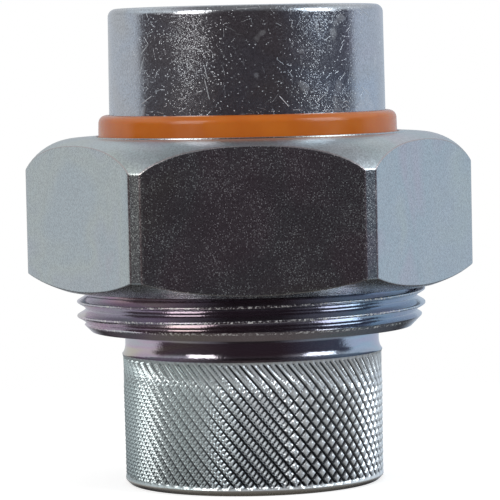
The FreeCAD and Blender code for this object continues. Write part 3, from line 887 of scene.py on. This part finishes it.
def make_nut(material):
    """The hex nut, domed above and coned below, with its thread, relief and lip inside."""
    surface = Surface()
    dome_z = NUT_TOP_Z - NUT_TOP_EDGE
    minor_r = THREAD_ROOT_R + THREAD_RADIAL_CLEARANCE
    major_r = THREAD_CREST_R + THREAD_RADIAL_CLEARANCE

    def thread_r(offset, z):
        radius = union_thread_r(offset, major_r, minor_r, THREAD_FLANK_CLEARANCE)
        return max(radius, NUT_MOUTH_R + NUT_BASE_Z - z, NUT_RELIEF_R + z - NUT_RELIEF_Z)

    def base_rise(share):
        """How far the lower chamfer has risen, at a share of the way out to a corner."""
        return NUT_BASE_RISE * share - 4 * NUT_BASE_BULGE * share * (1 - share)

    def outline(angle):
        from_flat = (angle % math.radians(60)) - math.radians(30)
        edge_r = soft_min(NUT_HALF_FLATS / math.cos(from_flat), NUT_CORNER_R,
                          NUT_CORNER_SOFTNESS)
        reach = (edge_r - NUT_BASE_R) / (NUT_CORNER_R - NUT_BASE_R)
        chamfer = []
        for step in range(NUT_BASE_STEPS + 1):
            share = step / NUT_BASE_STEPS
            chamfer.append((NUT_BASE_R + (edge_r - NUT_BASE_R) * share,
                            NUT_BASE_Z + base_rise(reach * share)))
        chamfer[0] += (NUT_BASE_EDGE,)
        chamfer[-1] += (NUT_LOWER_EDGE,)
        dome_start = math.acos((edge_r - NUT_DOME_R) / NUT_DOME_ARC)
        dome = []
        for step in range(NUT_DOME_STEPS + 1):
            turn = dome_start + (math.pi / 2 - dome_start) * step / NUT_DOME_STEPS
            dome.append((NUT_DOME_R + NUT_DOME_ARC * math.cos(turn),
                         dome_z - NUT_DOME_ARC * (1 - math.sin(turn))))
        dome[0] += (NUT_UPPER_EDGE,)
        outside = rounded_path(
            (NUT_MOUTH_R, NUT_BASE_Z), *chamfer, *dome, (NUT_TOP_R + NUT_TOP_EDGE, dome_z),
            (NUT_TOP_R + NUT_TOP_EDGE * NUT_TOP_STEP, NUT_TOP_Z, NUT_TOP_SOFTNESS),
            (NUT_LIP_R, NUT_TOP_Z, NUT_LIP_EDGE), (NUT_LIP_R, LIP_Z), (NUT_RELIEF_R, LIP_Z),
            (NUT_RELIEF_R, NUT_RELIEF_Z))
        thread = thread_rows(angle, NUT_BASE_Z, NUT_RELIEF_Z, THREAD_START_Z, UNION_OFFSETS,
                             thread_r)
        return np.concatenate([outside, thread[::-1]])

    surface.turned(nut_angles(), outline)
    return surface.make("union_nut_skin", "nut", "union_nut", material)


make_threaded_body(body_zinc())
make_tailpiece(tail_zinc())
make_nut(nut_zinc())
make_sleeve(orange_plastic())
make_gasket(black_rubber())

# Studio: white surround behind the object, dark in front of it
WALL_LEFT = (0.595, 0.62, 0.655)
WALL_RIGHT = (0.54, 0.61, 0.70)
WALL_HIGH = (0.84, 0.88, 0.90)
ROOM_FRONT = (0.034, 0.023, 0.029)
ROOM_FRONT_HIGH = (0.15, 0.15, 0.16)
CEILING = (0.24, 0.24, 0.25)
CEILING_SIDES = (0.80, 0.86, 0.89)
TABLE = (0.028, 0.024, 0.026)
TABLE_BELOW = (0.15, 0.145, 0.135)
TABLE_SIDES = (0.26, 0.28, 0.30)
GLOW_LEFT = (0.040, 0.040, 0.042)
GLOW_RIGHT = (0.035, 0.05, 0.075)
WHITE = (1, 1, 1, 1)
BLACK = (0, 0, 0)
FILL_STRENGTH = 0.5


def surround(tree):
    """What the metal mirrors in each direction: walls, ceiling and table, and a faint glow.

    A direction's x is to the right, its y behind the object and its z up, from -1 to 1.
    """
    direction = tree.node("ShaderNodeTexCoord").outputs["Generated"]
    parts = tree.node("ShaderNodeSeparateXYZ", Vector=direction)
    x, y, z = (parts.outputs[name] for name in "XYZ")
    aside = tree.maths("ABSOLUTE", x)
    level = tree.maths("SQRT", tree.maths("SUBTRACT", 1.0, tree.maths("MULTIPLY", z, z)))
    behind = tree.maths("DIVIDE", y, tree.maths("MAXIMUM", level, 0.05))
    height = tree.maths("MULTIPLY", tree.span(z, 0.15, 0.75), 0.2)
    low = tree.span(z, 0.0, -0.1, 0.0, 0.1)
    front = tree.mix(tree.span(z, 0.35, 0.75), ROOM_FRONT, ROOM_FRONT_HIGH)

    def wall(widening, start, full, colour):
        """One side's wall behind the object, which reaches further forward near the floor."""
        reach = tree.maths("ADD", tree.maths("ADD", behind, height),
                           tree.maths("MULTIPLY", low, widening))
        return tree.mix(tree.span(reach, start, full), front, colour)

    walls = tree.mix(tree.span(x, -0.05, 0.05), wall(1.4, 0.12, 0.25, WALL_LEFT),
                     wall(1.9, 0.10, 0.22, WALL_RIGHT))
    high = tree.maths("MULTIPLY", tree.span(z, 0.3, 0.6), tree.span(behind, 0.2, 0.5))
    walls = tree.mix(high, walls, WALL_HIGH)
    above = tree.span(z, 0.68, 0.90)
    sides = tree.maths("MULTIPLY", tree.span(aside, 0.35, 0.75), tree.span(z, 0.15, 0.5))
    ceiling = tree.mix(sides, CEILING, CEILING_SIDES)
    table = tree.mix(tree.span(z, -0.70, -0.92), TABLE, TABLE_BELOW)
    table = tree.mix(tree.span(aside, 0.3, 0.8), table, TABLE_SIDES)
    room = tree.mix(tree.maths("MAXIMUM", above, sides), walls, ceiling)
    room = tree.mix(tree.span(z, -0.15, -0.40), room, table)
    glow = tree.mix(1.0, tree.mix(tree.span(x, -0.35, -0.95), BLACK, GLOW_LEFT),
                    tree.mix(tree.span(x, 0.45, 0.95), BLACK, GLOW_RIGHT), "ADD")
    return tree.mix(1.0, room, glow, "ADD")


def make_world():
    """White to the camera; to metal, a bright surround behind and a dark room in front."""
    world = bpy.data.worlds.new("studio")
    bpy.context.scene.world = world
    world.use_nodes = True
    tree = Tree(world.node_tree)
    path = tree.node("ShaderNodeLightPath")
    seen = tree.node("ShaderNodeBackground", Color=WHITE, Strength=1.0)
    mirrored = tree.node("ShaderNodeBackground", Color=surround(tree))
    fill = tree.node("ShaderNodeBackground", Color=WHITE, Strength=FILL_STRENGTH)
    metal = tree.node("ShaderNodeMixShader", Fac=path.outputs["Is Glossy Ray"],
                      i1=fill.outputs[0], i2=mirrored.outputs[0])
    whole = tree.node("ShaderNodeMixShader", Fac=path.outputs["Is Camera Ray"],
                      i1=metal.outputs[0], i2=seen.outputs[0])
    tree.node("ShaderNodeOutputWorld", Surface=whole.outputs[0])
    world.cycles.sampling_method = "NONE"


FLOOR_R = 0.20
FLOOR_CORNERS = 96
FLOOR_DROP = 0.00002            # how far the floor lies under the object
FLOOR_FADE = (0.045, 0.12)
FLOOR_COLOUR = (0.8, 0.8, 0.8, 1)
FLOOR_LIFT = 0.62               # how much the floor shines by itself, to the camera only


def make_floor():
    """A pale disc that keeps the object's shadow and fades into the white surround."""
    mesh = bpy.data.meshes.new("floor")
    turns = [2 * math.pi * step / FLOOR_CORNERS for step in range(FLOOR_CORNERS)]
    ring = [(FLOOR_R * math.cos(turn), FLOOR_R * math.sin(turn), -FLOOR_DROP) for turn in turns]
    mesh.from_pydata(ring, [], [list(range(FLOOR_CORNERS))])
    floor = bpy.data.objects.new("floor", mesh)
    bpy.context.scene.collection.objects.link(floor)
    material = bpy.data.materials.new("pale_floor")
    material.use_nodes = True
    tree = Tree(material.node_tree)
    place = tree.node("ShaderNodeTexCoord").outputs["Object"]
    distance = tree.node("ShaderNodeVectorMath", (("operation", "LENGTH"),), i0=place)
    fade = tree.span(distance.outputs["Value"], *FLOOR_FADE)
    plain = tree.node("ShaderNodeBsdfDiffuse", Color=FLOOR_COLOUR)
    lift = tree.node("ShaderNodeEmission", Color=WHITE)
    path = tree.node("ShaderNodeLightPath")
    tree.put(lift, "Strength", tree.maths("MULTIPLY", path.outputs["Is Camera Ray"], FLOOR_LIFT))
    lit = tree.node("ShaderNodeAddShader", i0=plain.outputs[0], i1=lift.outputs[0])
    clear = tree.node("ShaderNodeBsdfTransparent")
    fade = tree.maths("MAXIMUM", fade, path.outputs["Is Glossy Ray"])
    whole = tree.node("ShaderNodeMixShader", Fac=fade, i1=lit.outputs[0], i2=clear.outputs[0])
    tree.node("ShaderNodeOutputMaterial", Surface=whole.outputs[0])
    mesh.materials.append(material)


make_world()
make_floor()

# The point that the lamps and the camera are placed round, half way up the object
CENTRE = Vector((0, 0, 0.0302))
LAMP_ELEVATION = 27
LAMP_DISTANCE = 0.6
LAMP_HEIGHT = 0.38


def towards(azimuth, elevation, distance):
    """A point seen from the object's centre; azimuth 0 is the photograph's side, + is right."""
    a, e = math.radians(azimuth), math.radians(elevation)
    return CENTRE + distance * Vector((math.sin(a) * math.cos(e), -math.cos(a) * math.cos(e),
                                       math.sin(e)))


def add_lamp(name, azimuth, width, power, colour):
    """A tall area lamp that faces the object."""
    data = bpy.data.lights.new(name, "AREA")
    data.shape = "RECTANGLE"
    data.size, data.size_y = width, LAMP_HEIGHT
    data.energy = power
    data.color = colour
    lamp = bpy.data.objects.new(name, data)
    lamp.location = towards(azimuth, LAMP_ELEVATION, LAMP_DISTANCE)
    lamp.rotation_euler = (CENTRE - lamp.location).to_track_quat("-Z", "Y").to_euler()
    bpy.context.scene.collection.objects.link(lamp)


add_lamp("left_lamp", azimuth=-48, width=0.26, power=0.95, colour=(1.0, 0.98, 0.96))
add_lamp("right_lamp", azimuth=64, width=0.30, power=1.10, colour=(0.88, 0.95, 1.0))

# Camera: a long lens a little above the middle of the object, rolled slightly
CAMERA_AZIMUTH = -1.0
CAMERA_ELEVATION = 3.45
CAMERA_DISTANCE = 0.402
CAMERA_ROLL = -1.2
CAMERA_LENS = 226.8
CAMERA_AIM = Vector((-0.00002, 0.0, 0.0294))

camera_data = bpy.data.cameras.new("camera")
camera_data.sensor_width = 36
camera_data.lens = CAMERA_LENS
camera_data.clip_start, camera_data.clip_end = 0.01, 10
camera = bpy.data.objects.new("camera", camera_data)
camera.location = towards(CAMERA_AZIMUTH, CAMERA_ELEVATION, CAMERA_DISTANCE)
aim = (CAMERA_AIM - camera.location).to_track_quat("-Z", "Y").to_matrix().to_4x4()
aim.translation = camera.location
camera.matrix_world = aim @ Matrix.Rotation(math.radians(CAMERA_ROLL), 4, "Z")
bpy.context.scene.collection.objects.link(camera)
bpy.context.scene.camera = camera
bpy.context.scene.view_settings.view_transform = "Standard"
